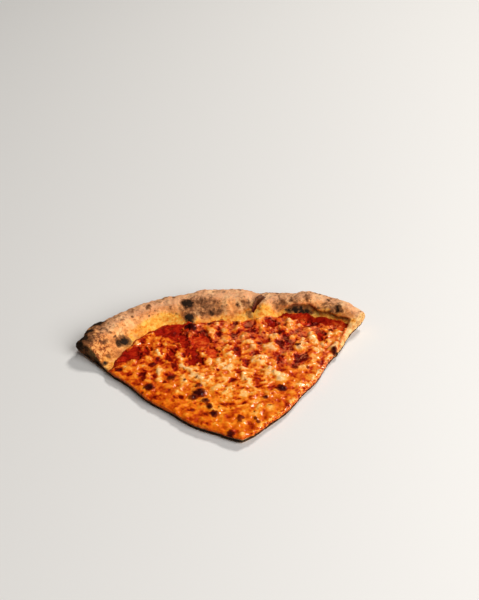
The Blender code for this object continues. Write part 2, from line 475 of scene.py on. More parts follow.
def newMaterial(name):
    made = bpy.data.materials.new(name)
    made.use_nodes = True
    return made, made.node_tree, made.node_tree.nodes["Principled BSDF"]


def finishShader(tree, shader, colour, roughness, height, bumpDistance):
    bump = addNode(tree, "Bump", {"Height": height, "Strength": 1.0, "Distance": bumpDistance})
    tree.links.new(colour, shader.inputs["Base Color"])
    tree.links.new(roughness, shader.inputs["Roughness"])
    tree.links.new(bump.outputs["Normal"], shader.inputs["Normal"])


def gloss(tree, shader, weight, roughness):
    # a thin film of oil: its weight is painted, the rest of the surface hardly shines
    tree.links.new(weight, shader.inputs["Coat Weight"])
    shader.inputs["Coat Roughness"].default_value = roughness
    shader.inputs["Specular IOR Level"].default_value = 0.02


def soften(shader, weight, reach):
    # light goes this far into the food: red furthest
    shader.inputs["Subsurface Weight"].default_value = weight
    shader.inputs["Subsurface Radius"].default_value = (reach, 0.4 * reach, 0.2 * reach)
    shader.inputs["Subsurface Scale"].default_value = 1.0


# The crust

crustLook = {
    "voxel": 0.74 * mm,  # the baked skin is remeshed in cells of this size
    # heights of its relief
    "lumps": 0.75 * mm,
    "knobs": 0.34 * mm,
    "pores": 0.15 * mm,
    "wrinkles": 0.35 * mm,
    "openBubbleDepth": 0.8 * mm,  # in the cuts
    "spotHeight": 0.45 * mm,
    "smallSpotHeight": 0.25 * mm,
    # burnt places on the rim: x, y, radius in mm, how black
    "charSpots": (
        (-20, 138, 4.6, 1), (-12.5, 138.5, 2, 0.6), (-48.5, 136.5, 2.2, 0.65), (-3, 132, 2.4, 0.75),
        (2, 131.5, 2.2, 0.6), (-10, 131.5, 1.8, 0.5), (-68, 110, 4.6, 1), (-72, 107.5, 3.2, 0.9),
        (-86.5, 121.5, 4.8, 1), (-83, 124.5, 3.4, 0.9), (-92.5, 113.5, 3.6, 1), (-97, 107, 5.4, 1),
        (-100, 102, 5.6, 1), (-93, 103, 3.4, 0.7), (-96, 98, 3.6, 0.8), (-91, 94, 2.4, 0.6),
        (-79.5, 94.5, 2.4, 0.55), (-82.5, 87, 2.6, 0.9), (24, 128.5, 2.4, 0.5), (50, 132, 2.8, 0.45),
        (43, 131.5, 2, 0.3), (54.5, 126.4, 2.4, 0.9), (58.5, 126, 3, 1), (62.5, 125.2, 3.1, 1),
        (66.5, 123.8, 2.7, 1), (69.5, 122.2, 1.6, 0.8), (68, 128.6, 1.8, 0.5), (59, 129.5, 2.2, 0.35),
        (84, 117.2, 1.8, 0.65), (88.5, 116.2, 2.8, 0.95), (91.5, 113.8, 1.7, 0.7), (80, 119, 1.6, 0.45),
        (75, 136, 2.2, 0.45), (-19.5, 128.6, 4, 1), (-18.5, 126.8, 3, 1), (3.5, 127, 2, 0.5),
        (24.5, 126.5, 2, 0.5), (-36, 147, 2.4, 0.4), (20, 149, 2.2, 0.35), (-60, 133, 2, 0.4),
    ),
    # toasted grey-brown fields: x, y, radius in mm, strength
    "toastFields": (
        (-16, 136, 11, 0.9), (-6, 136, 11, 0.9), (3, 134, 8, 0.7), (24, 133, 6, 0.75), (47, 131, 7, 0.55),
        (57, 131, 7, 0.5), (84, 118, 8, 0.8), (75, 138, 8, 0.6), (88, 128, 8, 0.5), (-84, 118, 11, 0.7),
        (-95, 107, 11, 0.9), (-58, 138, 9, 0.5), (-73, 127, 10, 0.45), (-42, 143, 7, 0.4),
        (-86, 105, 8, 0.5), (40, 146, 8, 0.5), (-28, 149, 7, 0.3), (8, 149, 7, 0.3), (-66, 116, 7, 0.3),
        (62, 141, 9, 0.5), (50, 141, 8, 0.45), (68, 133, 8, 0.4),
    ),
    # a burnt bubble on the right-hand cut: x, y and height of its middle in mm
    "edgeBubble": (79.8, 75.8, 4),
    "bubbleSize": 4 * mm,
    "bubbleHeight": 2.8 * mm,
    "leopardSpots": 150,
    "browning": 64,  # larger toasted islands, mostly on the outer side
    # golden oil: degrees and strength, degrees and how far up the slope as a share of the rim's width
    "oilStrength": (
        (-44, 0.5), (-39, 0.45), (-35, 0.3), (-32, 0.45), (-27, 0.65), (-22, 0.9), (-18, 1), (-11.5, 1),
        (-9.5, 0), (-4, 0.05), (-1, 0.5), (1.5, 0.85), (4, 0.55), (8, 0.9), (10.5, 0.6), (14, 1),
        (19, 0.85), (22, 0.3), (28.5, 0.3), (30.5, 1), (40, 1), (44, 0.5),
    ),
    "oilReach": (
        (-44, 0.1), (-32, 0.2), (-27, 0.22), (-22, 0.28), (-16, 0.32), (-11, 0.28), (-8, 0.08), (-2, 0.14),
        (8, 0.2), (11, 0.34), (15, 0.38), (17.5, 0.34), (20, 0.18), (24, 0.3), (28, 0.32), (32, 0.25),
        (38, 0.24), (44, 0.24),
    ),
    # the lip of dough over the right-hand foot: degrees and share of the rim's width
    "lipAt": (
        (18, 0.31), (22, 0.31), (26, 0.345), (29, 0.3), (32, 0.215), (35, 0.19), (38.7, 0.23), (44, 0.25),
    ),
    "lipFrom": (20, 24),  # it starts and ends between these degrees
    "lipTo": (40, 43),
    "lipHeight": 1.5 * mm,
    "lipOverhang": 0.9 * mm,
    "lipGroove": 0.7 * mm,
    "bareHeight": 1.7 * mm,  # the bare strip beside the right-hand cut stands this high over the base
    "stain": 0.6,  # oil that has soaked into the dough beside the toppings, and how far
    "stainWidth": 4 * mm,
}


def copyOfNode(node, name):
    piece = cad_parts[node].copy()
    piece.data = piece.data.copy()
    piece.name = piece.data.name = name
    bpy.context.scene.collection.objects.link(piece)
    piece.data.materials.clear()
    editMode(piece, lambda: bpy.ops.mesh.remove_doubles(threshold=0.00001))
    return piece


def holdBack(heights, limit):
    # bumps near the limit are pressed down softly, so that none passes it
    start = limit - plan["softTop"]
    over = np.maximum(0, heights - start)
    return np.where(over > 0, start + plan["softTop"] * (1 - np.exp(-over / plan["softTop"])), heights)


def burns(points, skin, share, top):
    # how burnt and how toasted each point of the rim is, and the blisters that the burns raise
    look = crustLook
    char, toast, raised = np.zeros(len(points)), np.zeros(len(points)), np.zeros(len(points))
    broken = 1 + 0.45 * uneven(points, 3.2 * mm, 31, 3)
    moved = warped(points, 4 * mm, 1.3 * mm, 51)
    for x, y, size, strength in look["charSpots"]:
        bump = spotAt(moved, onSkin(x, y), 1.6 * size * mm)
        char = np.maximum(char, strength * np.minimum(1, 1.3 * bump * broken))
        raised += look["spotHeight"] * bump * strength
    edgeX, edgeY, edgeZ = look["edgeBubble"]
    centre = np.array([edgeX * mm, edgeY * mm - plan["tipToOrigin"], edgeZ * mm])
    bump = spotAt(points, centre, look["bubbleSize"])
    char = np.maximum(char, np.minimum(1, 1.6 * bump))
    raised += look["bubbleHeight"] * bump
    draw = random.Random(31)
    places = np.nonzero((skin > 0.5) & (share > 0.22))[0]
    for _ in range(look["leopardSpots"]):
        centre = points[draw.choice(places)]
        size, strength = draw.uniform(0.9, 3.0) * mm, draw.uniform(0.2, 0.8)
        bump = spotAt(moved, centre, size)
        char = np.maximum(char, strength * bump * broken)
        raised += look["smallSpotHeight"] * bump
    for x, y, size, strength in look["toastFields"]:
        toast = np.maximum(toast, strength * spotAt(points, onSkin(x, y), 1.4 * size * mm))
    low = np.nonzero((skin > 0.3) & (top < 0.35) & (share > 0.6))[0]
    for _ in range(look["browning"]):
        centre = points[draw.choice(low)]
        size, strength = draw.uniform(4, 12) * mm, draw.uniform(0.3, 0.9)
        toast = np.maximum(toast, strength * spotAt(points, centre, size))
    return char, toast, raised


def openBubbles(points, cutFace):
    # the bubbles that the cuts have opened: 1 in the middle of each, wider than they are high
    inCut = np.nonzero(cutFace > 0.05)[0]
    bubbles = np.zeros(len(points))
    stretched = points[inCut] * np.array([1, 1, 1.7])
    for size, depth in ((3.4 * mm, 1.0), (1.6 * mm, 0.5)):
        near = np.array([noise.voronoi(p)[0][0] for p in (stretched / size).tolist()])
        bubbles[inCut] += depth * (1 - rise(near, 0.15, 0.55))
    return bubbles * cutFace


def makeCrust():
    look = crustLook
    piece = copyOfNode("crust", "bakedCrust")
    addAndApply(piece, "REMESH", mode="VOXEL", voxel_size=look["voxel"])
    addAndApply(piece, "SMOOTH", factor=0.5, iterations=4)
    points, normals = readPoints(piece), readNormals(piece)
    radius, angle = fromTip(points)
    degrees = np.degrees(angle)
    x = points[:, 0] / mm
    share = (radius - footAt(angle)) / (outerAt(angle) - footAt(angle))  # 0 at the rim's foot, 1 outside
    outward = np.stack([np.sin(angle), np.cos(angle), np.zeros(len(angle))], 1)
    across = np.stack([np.cos(angle), -np.sin(angle), np.zeros(len(angle))], 1)
    sideways = np.abs((normals * across).sum(1))
    cutFace = rise(sideways, 0.55, 0.85) * rise(-insideCuts(radius, angle), -2.6 * mm, -1.2 * mm)
    cutFace = evenOut(piece, cutFace, 2)
    under = rise(-normals[:, 2], 0.25, 0.75) * (1 - cutFace)
    top = normals[:, 2]
    skin = rise(share, 0.0, 0.25) * (1 - cutFace) * (1 - 0.6 * under)
    char, toast, raised = burns(points, skin, share, top)

    # uneven dough, wrinkled where it baked soft
    height = look["lumps"] * uneven(points, 11 * mm, 1, 2) * skin
    height += look["knobs"] * uneven(points, 4.2 * mm, 2, 3) * (0.15 + 0.85 * skin) * (1 - cutFace)
    height += look["pores"] * uneven(points, 1.6 * mm, 3, 3) * (0.4 + 0.6 * skin) * (1 - cutFace)
    wrinkle = 1 - np.abs(uneven(points * np.array([1, 1, 2]), 7 * mm, 4, 2)) * 2.5
    height += look["wrinkles"] * rise(wrinkle, 0.2, 1.0) * skin
    height += raised * (1 - under)

    # the lip: a groove at its foot, and its edge leans out over the groove
    lip = valueAlong(look["lipAt"], degrees) + 0.02 * np.sin(degrees / 0.9)
    along = rise(degrees, *look["lipFrom"]) * (1 - rise(degrees, *look["lipTo"])) * rise(top, 0, 0.3)
    step = rise(share, lip - 0.03, lip + 0.03) * (1 - rise(share, lip + 0.06, lip + 0.4))
    groove = rise(share, lip - 0.16, lip - 0.03) * (1 - rise(share, lip - 0.02, lip + 0.02)) * along
    height += look["lipHeight"] * step * along - look["lipGroove"] * groove
    lean = rise(share, lip - 0.01, lip + 0.05) * (1 - rise(share, lip + 0.05, lip + 0.2)) * along

    # the bare strip beside the right-hand cut
    bareRoom = (cutAngle(radius, 1) - angle) * radius
    bare = (1 - rise(bareRoom, bareWidth(radius) - 0.6 * mm, bareWidth(radius) + 1.2 * mm)) * (degrees > 0)
    bare *= rise(bareWidth(radius), 0.5 * mm, 2 * mm) * (1 - rise(share, 0.05, 0.3))
    height += look["bareHeight"] * bare * rise(top, 0.2, 0.7) * (1 - cutFace)

    bubbles = openBubbles(points, cutFace)
    height -= look["openBubbleDepth"] * bubbles * (0.35 + 0.65 * rise(share, -0.15, 0.1))

    moved = points + normals * height[:, None] - outward * (look["lipOverhang"] * lean)[:, None]
    moved[:, 2] = np.maximum(holdBack(moved[:, 2], cadBox[1][2] + plan["headroom"]), 0)
    writePoints(piece, moved)

    reach = valueAlong(look["oilReach"], degrees)
    oil = valueAlong(look["oilStrength"], degrees) * (1 - rise(share, reach - 0.16, reach + 0.14))
    stain = 1 - rise(radius - farEdge(angle, sauceLook), 0.8 * mm, look["stainWidth"])
    oil = np.maximum(oil, look["stain"] * stain * rise(share, -0.2, 0))
    nearTip = 1 - rise(radius, 12 * mm, 40 * mm)
    charred = 0.9 * nearTip + 0.7 * rise(x, 0, 10) * (1 - rise(radius, 104 * mm, 112 * mm))
    lift = aboveUnderside(points)
    paint(
        piece,
        char=char,
        toast=toast * (1 - cutFace),
        belt=rise(share, 0.82, 1.0) * rise(0.75 - np.abs(top), 0, 0.5),
        flour=rise(share, 0.2, 0.55) * (1 - rise(share, 0.9, 1.0)) * rise(top, 0.1, 0.7),
        freckles=rise(-degrees, 35, 39) * (1 - under) * rise(share, -0.2, 0),
        # painted shade: the groove under the lip, darkened where the lip would shade it
        crease=groove,
        pale=bare,
        cutFace=cutFace,
        bubble=bubbles,
        under=under,
        oil=oil * (1 - under) * (1 - cutFace),
        heel=1 - rise(lift - charred * mm, 0.9 * mm, 2.6 * mm),
        # the left-hand cut: partly charred, partly painted shade, darkest near the floor
        burntCut=rise(-x, -4, 4) * (0.8 + 0.2 * (1 - rise(lift, 2 * mm, 7 * mm))),
        edgeOil=rise(x, 2, 8) * (1 - rise(radius, 105 * mm, 122 * mm)),
    )
    return finishPiece(piece, crustMaterial())


def crustMaterial():
    made, tree, shader = newMaterial("baked dough")
    place = objectPlace(tree)
    blotch = speckle(tree, place, 8 * mm, 3, 0.6)
    mottle = speckle(tree, place, 2.6 * mm, 4, 0.7)
    dust = speckle(tree, place, 0.9 * mm, 3, 0.7)
    skin = ramp(tree, blotch, (
        (0.36, (0.66, 0.23, 0.062)), (0.50, (0.95, 0.39, 0.125)), (0.62, (1.0, 0.55, 0.23))))
    skin = layOver(tree, skin, (0.44, 0.15, 0.045), mottle, 0.48, 0.64, 0.75)
    floury = add(tree, attribute(tree, "flour"), wobble(tree, dust, 1.8))
    skin = layOver(tree, skin, (0.74, 0.43, 0.26), floury, 0.35, 1.2, 0.6)
    freckled = ramp(tree, mottle, (
        (0.40, (0.88, 0.42, 0.13)), (0.50, (0.66, 0.21, 0.050)), (0.57, (0.18, 0.032, 0.010))))
    skin = between(tree, times(tree, attribute(tree, "freckles"), 0.9), skin, freckled)
    belt = add(tree, attribute(tree, "belt"), wobble(tree, blotch, 2.2))
    skin = layOver(tree, skin, (0.46, 0.16, 0.044), belt, 0.4, 1.1, 0.8)
    toasted = ramp(tree, mottle, (
        (0.36, (0.54, 0.23, 0.090)), (0.50, (0.30, 0.125, 0.052)), (0.64, (0.085, 0.036, 0.017))))
    browning = add(tree, attribute(tree, "toast"), wobble(tree, mottle, 1.4))
    skin = layOver(tree, skin, toasted, browning, 0.15, 0.8, 0.9)
    golden = ramp(tree, mottle, (
        (0.38, (1.0, 0.60, 0.130)), (0.50, (1.0, 0.44, 0.050)), (0.62, (0.80, 0.20, 0.018))))
    oily = add(tree, attribute(tree, "oil"), wobble(tree, blotch, 1.1))
    oily = spread(tree, add(tree, oily, wobble(tree, mottle, 0.9)), 0.2, 0.8)
    skin = between(tree, oily, skin, golden)
    # painted shade in the groove under the lip, in dark brown
    skin = between(tree, times(tree, attribute(tree, "crease"), 0.85), skin, (0.085, 0.014, 0.005))

    # the dough inside, as the cuts show it: pale, oily where the cheese runs over it, charred and darkened
    # with painted shade on the left
    inner = ramp(tree, mottle, (
        (0.40, (0.98, 0.64, 0.27)), (0.50, (0.90, 0.50, 0.17)), (0.60, (0.60, 0.23, 0.06))))
    # painted shade: the opened bubbles in the cuts are darkened as shaded hollows
    inner = between(tree, times(tree, attribute(tree, "bubble"), 0.7), inner, (0.32, 0.12, 0.03))
    speckled = ramp(tree, mottle, (
        (0.36, (0.90, 0.40, 0.10)), (0.50, (0.74, 0.22, 0.035)), (0.62, (0.20, 0.03, 0.008))))
    inner = between(tree, attribute(tree, "edgeOil"), inner, speckled)
    # the left cut's colour: charred crumb and painted shade, near black
    sootAndShade = ramp(tree, mottle, (
        (0.36, (0.035, 0.012, 0.005)), (0.50, (0.011, 0.0045, 0.0025)), (0.64, (0.005, 0.0025, 0.002))))
    inner = between(tree, attribute(tree, "burntCut"), inner, sootAndShade)
    creamy = ramp(tree, mottle, (
        (0.40, (0.97, 0.62, 0.27)), (0.50, (0.92, 0.47, 0.16)), (0.60, (0.62, 0.22, 0.05))))
    skin = between(tree, attribute(tree, "pale"), skin, creamy)
    skin = between(tree, attribute(tree, "cutFace"), skin, inner)
    burnt = useGroup(tree, ragged, {"Place": place, "Mask": attribute(tree, "char"), "Raggedness": 1.2})
    skin = between(tree, times(tree, burnt["Halo"], 0.8), skin, (0.17, 0.060, 0.022))
    skin = between(tree, burnt["Black"], skin, (0.022, 0.011, 0.006))

    # the underside, and the charred line along the foot of the cuts
    sole = ramp(tree, blotch, (
        (0.38, (0.74, 0.38, 0.16)), (0.50, (0.50, 0.22, 0.08)), (0.62, (0.085, 0.038, 0.019))))
    sole = layOver(tree, sole, (0.74, 0.48, 0.28), dust, 0.45, 0.75, 0.4)
    skin = between(tree, attribute(tree, "under"), skin, sole)
    heel = add(tree, attribute(tree, "heel"), wobble(tree, mottle, 0.8))
    heel = times(tree, spread(tree, heel, 0.3, 0.7), attribute(tree, "cutFace"))
    skin = between(tree, heel, skin, (0.012, 0.007, 0.005))

    rough = fromTo(tree, oily, 0.0, 1.0, 0.82, 0.36)
    height = useGroup(tree, grain, {"Place": place, "Coarse": 1.0, "Fine": 0.7})["Height"]
    finishShader(tree, shader, skin, rough, height, 0.25 * mm)
    shader.inputs["Specular IOR Level"].default_value = 0.04
    soften(shader, 0.06, 1.5 * mm)
    return made


# The curled flake of tomato skin that baked onto the rim

flakeLook = {
    # its middle line, x and y in mm, with its half width and its height over the rim in mm
    "line": (
        (26.8, 128, 1, 0.3), (29.2, 131, 1.5, 0.9), (31.2, 133.4, 2.5, 1.5), (33.4, 135.4, 3.3, 1.9),
        (35.6, 136.8, 3, 1.7), (37.6, 137.6, 1.3, 0.7),
    ),
    "steps": (22, 6),  # along and across
    "curl": 1.1 * mm,  # how much higher its edges stand than its middle
    "raggedness": 0.45,  # how far its edges wander in mm
    "crinkles": 0.25 * mm,
    "thickness": 0.45 * mm,
}


def makeFlake():
    look = flakeLook
    along, across = look["steps"]
    deselectAll()
    bpy.ops.mesh.primitive_grid_add(x_subdivisions=across, y_subdivisions=along, size=2)
    piece = bpy.context.object
    piece.name = piece.data.name = "curledFlake"
    points = readPoints(piece)
    rows = [np.array(row) for row in zip(*look["line"])]
    marks = np.linspace(-1, 1, len(rows[0]))
    middleX, middleY, width, high = (np.interp(points[:, 1], marks, row) for row in rows)
    # its direction at each point, from a place a little further on and one a little way back
    aheadX, aheadY = (np.interp(points[:, 1] + 0.2, marks, row) for row in rows[:2])
    backX, backY = (np.interp(points[:, 1] - 0.2, marks, row) for row in rows[:2])
    length = np.hypot(aheadX - backX, aheadY - backY)
    side = points[:, 0] * width
    x = middleX + side * (aheadY - backY) / length
    y = middleY - side * (aheadX - backX) / length
    x += look["raggedness"] * np.sin(2.3 * y) * np.abs(points[:, 0])
    y += look["raggedness"] * np.sin(3.1 * x) * np.abs(points[:, 0])
    skin = np.array([onSkin(*place) for place in zip(x, y)])
    up = high * mm + look["curl"] * points[:, 0] ** 2 * np.minimum(1, high)
    up += look["crinkles"] * uneven(skin, 2.5 * mm, 41, 2)
    writePoints(piece, skin + up[:, None] * np.array([0, -0.35, 0.94]))
    addAndApply(piece, "SOLIDIFY", thickness=look["thickness"], offset=0.0)
    addAndApply(piece, "SUBSURF", levels=1, render_levels=1)
    editMode(piece, lambda: bpy.ops.mesh.normals_make_consistent(inside=False))
    points = readPoints(piece)
    paint(piece, dark=rise(points[:, 1] + plan["tipToOrigin"], 129 * mm, 134 * mm))
    return finishPiece(piece, flakeMaterial())


def flakeMaterial():
    made, tree, shader = newMaterial("baked tomato skin")
    place = objectPlace(tree)
    patch = speckle(tree, place, 1.8 * mm, 3, 0.6)
    red = ramp(tree, patch, ((0.35, (0.20, 0.018, 0.005)), (0.65, (0.07, 0.008, 0.003))))
    brown = ramp(tree, patch, ((0.35, (0.20, 0.062, 0.018)), (0.65, (0.062, 0.016, 0.006))))
    colour = between(tree, attribute(tree, "dark"), red, brown)
    rough = fromTo(tree, patch, 0.3, 0.7, 0.3, 0.55)
    height = useGroup(tree, grain, {"Place": place, "Coarse": 1.0, "Fine": 0.3})["Height"]
    finishShader(tree, shader, colour, rough, height, 0.15 * mm)
    shader.inputs["Specular IOR Level"].default_value = 0.1
    return made


# Sheets over the flat middle: sauce and cheese

sheetLook = {
    "span": 205 * mm,  # side of the square grid that each sheet is cut from
    "middle": -18 * mm,  # where the middle of that grid lies, in y
    "sink": 0.5 * mm,  # how far below the dough a sheet's far edge ends
    "besideCut": 0.9 * mm,  # heights on the dough are read this far inside the cuts
    "slopeStep": 2 * mm,  # over this distance the sheets climb no more than the next value
    "slopeRise": 2.2 * mm,
    "thinnest": 0.2 * mm,
    "sharpAbove": 60,  # edges sharper than this many degrees are kept
}


def toppingAngle(radius, side):
    # the angle where the toppings end at a cut: a bare strip of dough is left at the right one
    inset = bareWidth(radius) if side > 0 else 0
    return cutAngle(radius, side) - inset / np.maximum(radius, 1 * mm)


def insideToppings(radius, angle):
    # distance from the nearer side edge of the toppings, positive inside
    left = (angle - toppingAngle(radius, -1)) * radius
    right = (toppingAngle(radius, 1) - angle) * radius
    return np.minimum(left, right)


def farEdge(angle, look):
    # how far from the tip a sheet ends: the rim's foot and an uneven reach up its slope
    degrees = np.degrees(angle)
    wave = np.sin(degrees / 2.3 + look["seed"]) + 0.6 * np.sin(degrees / 0.9 + 2 * look["seed"])
    return footAt(angle) + valueAlong(look["reach"], degrees) * mm + look["waviness"] * wave


def cutSheet(name, look):
    # a flat grid, trimmed to the cuts and the rim, and given a second side
    cells = round(sheetLook["span"] / look["cell"])
    deselectAll()
    bpy.ops.mesh.primitive_grid_add(
        x_subdivisions=cells, y_subdivisions=cells, size=sheetLook["span"],
        location=(0, sheetLook["middle"], 0), rotation=(0, 0, math.radians(45)))
    piece = bpy.context.object
    piece.name = piece.data.name = name
    bpy.ops.object.transform_apply(location=True, rotation=True, scale=True)
    radius, angle = fromTip(readPoints(piece))
    room = np.minimum(insideToppings(radius, angle), farEdge(angle, look) - radius)
    behindTip = np.abs(angle) > math.radians(80)
    selectPoints(piece, (room < -0.5 * look["cell"]) | behindTip)
    bpy.ops.mesh.delete(type="VERT")
    bpy.ops.object.mode_set(mode="OBJECT")
    snapEdge(piece, look)
    secondSide = {"value": (0, 0, 1 * mm)}
    editMode(piece,
             lambda: bpy.ops.mesh.extrude_region_move(TRANSFORM_OT_translate=secondSide),
             lambda: bpy.ops.mesh.select_all(action="SELECT"),
             lambda: bpy.ops.mesh.normals_make_consistent(inside=False))
    return piece


def snapEdge(piece, look):
    # the sheet's ragged grid edge moves onto the cuts and the rim line
    edges = np.empty(2 * len(piece.data.edges), dtype=int)
    piece.data.edges.foreach_get("vertices", edges)
    loops = np.empty(len(piece.data.loops), dtype=int)
    piece.data.loops.foreach_get("edge_index", loops)
    single = np.bincount(loops, minlength=len(piece.data.edges)) == 1
    rim = np.unique(edges.reshape(-1, 2)[single])
    points = readPoints(piece)
    radius, angle = fromTip(points)
    left, right = toppingAngle(radius, -1), toppingAngle(radius, 1)
    far = farEdge(angle, look)
    farFirst = np.abs(far - radius) < np.abs(insideToppings(radius, angle))
    radius = np.where(farFirst, far, radius)
    nearer = np.where(angle < (left + right) / 2, left, right)
    angle = np.where(farFirst, np.clip(angle, left, right), nearer)
    snapped = fromPolar(radius, angle, points[:, 2])
    points[rim] = snapped[rim]
    writePoints(piece, points)


def fromPolar(radius, angle, heights):
    # points at a distance and an angle from the tip
    return np.stack([radius * np.sin(angle), radius * np.cos(angle) - plan["tipToOrigin"], heights], 1)


def doughUnder(tree, points):
    # the dough's height below the sheets, without the overhanging lip
    radius, angle = fromTip(points)
    nearer = fromPolar(np.maximum(radius - sheetLook["slopeStep"], 0), angle, points[:, 2])
    highest = heightsOn(tree, inwards(nearer)) + sheetLook["slopeRise"]
    return np.minimum(heightsOn(tree, inwards(points)), highest)


def inwards(points):
    # the same places, kept a little inside the cuts, so that a cast finds the dough below
    gap = sheetLook["besideCut"]
    radius, angle = fromTip(points)
    inset = gap / np.maximum(radius, gap)
    angle = np.clip(angle, cutAngle(radius, -1) + inset, cutAngle(radius, 1) - inset)
    return fromPolar(np.maximum(radius, 1.5 * gap), angle, points[:, 2])


sauceLook = {
    "cell": 0.9 * mm,  # size of its grid
    "thickness": 1.3 * mm,
    "slope": 3.5 * mm,  # it has its full height this far inside its far edge
    "thinEdge": 3 * mm,  # and over this width its colour thins out to orange oil
    "seed": 1,  # another seed gives another wavy far edge
    "waviness": 0.6 * mm,
    "lumps": 0.6 * mm,
    "pulp": 0.24 * mm,
    "brightPlaces": ((-14, 103, 8), (-7, 87, 8), (62, 116, 6), (86, 105, 7), (-12, 94, 6)),  # x, y, radius
    # degrees along the rim, and how far past its foot the sauce reaches in mm
    "reach": (
        (-44, -7), (-39, -6), (-35, -3), (-30, -3.5), (-26, -1.5), (-22, 1), (-17, 1.5), (-12, 1),
        (-11, 1.5), (-9.3, 4), (-7.5, 2), (-4, 1.5), (0, 1.5), (10, 2), (16, 4), (20, 4), (22.5, 6.2),
        (26, 5.4), (28.5, 4.2), (31, 2.4), (34, 3.4), (38, 4), (41, 3), (44, 2),
    ),
}


def sauceHeights(points, dough):
    # the top of the sauce over these places
    look = sauceLook
    radius, angle = fromTip(points)
    cover = rise(farEdge(angle, look) - radius, 0, look["slope"])
    flat = points * np.array([1, 1, 0])
    relief = look["lumps"] * uneven(flat, 6 * mm, 11, 3) + look["pulp"] * uneven(flat, 1.9 * mm, 12, 2)
    return dough - sheetLook["sink"] + (look["thickness"] + sheetLook["sink"] + relief) * cover


def makeSauce(crustTree):
    look = sauceLook
    piece = cutSheet("tomatoSauce", look)
    points = readPoints(piece)
    isTop = points[:, 2] > 0.5 * mm
    dough = doughUnder(crustTree, points)
    top = sauceHeights(points, dough)
    bottom = np.minimum(dough + 0.05 * mm, top - sheetLook["thinnest"])
    points[:, 2] = np.where(isTop, top, bottom)
    writePoints(piece, points)
    x, y = inMillimetres(points)
    bright = np.zeros(len(points))
    for *place, size in look["brightPlaces"]:
        bright = np.maximum(bright, domeAt(x, y, place, size * 1.4))
    radius, angle = fromTip(points)
    thin = 1 - rise(farEdge(angle, look) - radius, 0.6 * mm, look["thinEdge"])
    paint(piece, bright=bright, thin=thin)
    return finishPiece(piece, sauceMaterial(), sheetLook["sharpAbove"])


def sauceMaterial():
    made, tree, shader = newMaterial("tomato sauce")
    place = objectPlace(tree)
    blotch = speckle(tree, place, 5 * mm, 4, 0.65, 0.6)
    pulp = speckle(tree, place, 1.3 * mm, 3, 0.7)
    level = add(tree, blotch, times(tree, attribute(tree, "bright"), 0.30))
    colour = ramp(tree, add(tree, level, wobble(tree, pulp, 0.3)), (
        (0.30, (0.12, 0.0035, 0.0015)), (0.46, (0.27, 0.005, 0.0015)), (0.60, (0.42, 0.014, 0.003)),
        (0.74, (0.66, 0.050, 0.007)), (0.88, (0.80, 0.14, 0.020))))
    thin = add(tree, attribute(tree, "thin"), wobble(tree, blotch, 1.2))
    colour = layOver(tree, colour, (0.85, 0.21, 0.018), thin, 0.35, 1.1, 0.85)
    rough = fromTo(tree, pulp, 0.35, 0.7, 0.12, 0.28)
    height = useGroup(tree, grain, {"Place": place, "Coarse": 1.0, "Fine": 0.2})["Height"]
    finishShader(tree, shader, colour, rough, height, 0.2 * mm)
    gloss(tree, shader, times(tree, spread(tree, pulp, 0.45, 0.62), 0.5), 0.1)
    return made


